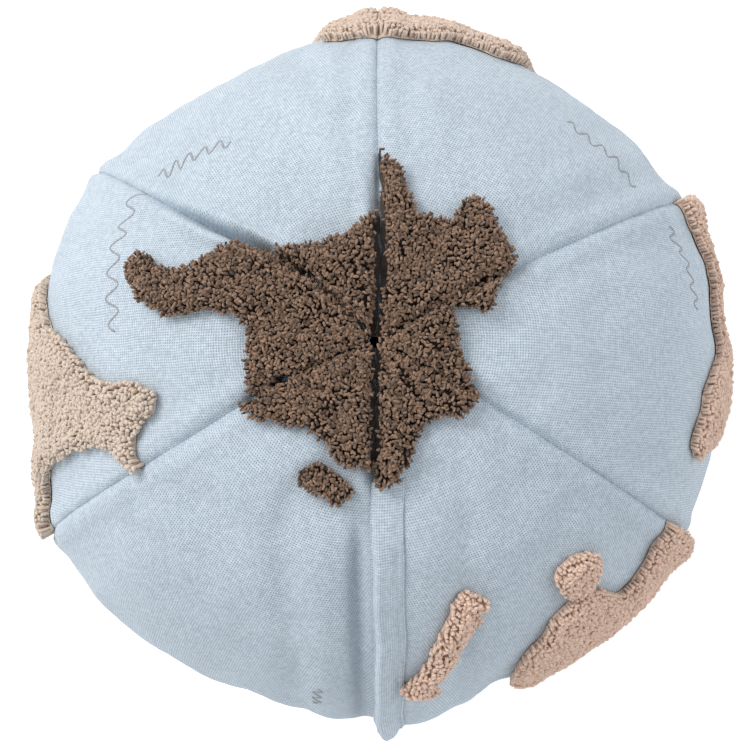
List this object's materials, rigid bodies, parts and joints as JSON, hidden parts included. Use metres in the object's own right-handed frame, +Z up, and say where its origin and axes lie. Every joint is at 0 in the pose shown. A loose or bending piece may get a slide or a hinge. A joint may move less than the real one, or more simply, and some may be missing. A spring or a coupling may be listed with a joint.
{
  "type": "floor cushion",
  "caption": "Ball-shaped floor cushion of sewn canvas panels with raised tufted land like a globe, covered zip, inner liner and filling.",
  "frame": {"origin": "centre of the overall box on the floor plane, under the flattened base", "axes": "+Z up through the crown; -Y towards the covered zip seam; +X to the right when facing the zip"},
  "size_m": [0.4104, 0.4223, 0.3339],
  "materials": {
    "canvas": "plain-woven pale blue cotton canvas, matt",
    "brown_pile": "dense tufted yarn pile, dark brown",
    "beige_pile": "dense tufted yarn pile, beige",
    "zip_tape": "woven tape",
    "zip_coil": "nylon coil",
    "zip_metal": "die-cast, satin",
    "liner_cloth": "plain white cotton",
    "filling_fibre": "loose white polyester fibre"
  },
  "bodies": {
    "cushion": {"panel_back_right": "canvas", "panel_right": "canvas", "panel_front_right": "canvas", "panel_front_left": "canvas", "panel_left": "canvas", "panel_back_left": "canvas", "pile_antarctica_back_right": "brown_pile", "pile_antarctica_right": "brown_pile", "pile_antarctica_front_right": "brown_pile", "pile_antarctica_front_left": "brown_pile", "pile_antarctica_left": "brown_pile", "pile_antarctica_back_left": "brown_pile", "pile_polar_island": "brown_pile", "pile_south_america": "beige_pile", "pile_africa_back_left": "beige_pile", "pile_africa_back_right": "beige_pile", "pile_spice_islands": "beige_pile", "pile_australia": "beige_pile", "pile_tasmania": "beige_pile", "pile_new_zealand": "beige_pile", "pile_asia_back_right": "beige_pile", "pile_asia_right": "beige_pile", "pile_asia_front_right": "beige_pile", "pile_europe": "beige_pile", "pile_north_america_front_left": "beige_pile", "pile_north_america_left": "beige_pile", "pile_greenland": "beige_pile", "placket": "canvas", "zip_tape_left": "zip_tape", "zip_coil_left": "zip_coil", "liner_left": "liner_cloth", "zip_tape_right": "zip_tape", "zip_coil_right": "zip_coil", "liner_right": "liner_cloth", "zip_stop_closed_end": "zip_metal", "zip_stop_open_end": "zip_metal", "filling": "filling_fibre"},
    "zip_slider": {"zip_slider": "zip_metal"},
    "zip_pull": {"zip_pull": "zip_metal"}
  },
  "joints": [
    {"name": "slider_travel", "type": "hinge", "parent": "cushion", "child": "zip_slider", "pos_m": [0.0067, -0.037, 0.15983], "axis": [1, 0, 0], "range_deg": [0, 108]},
    {"name": "pull_lift", "type": "hinge", "parent": "zip_slider", "child": "zip_pull", "pos_m": [0.0067, -0.11443, 0.30865], "axis": [-1, 0, 0], "range_deg": [0, 6]}
  ]
}
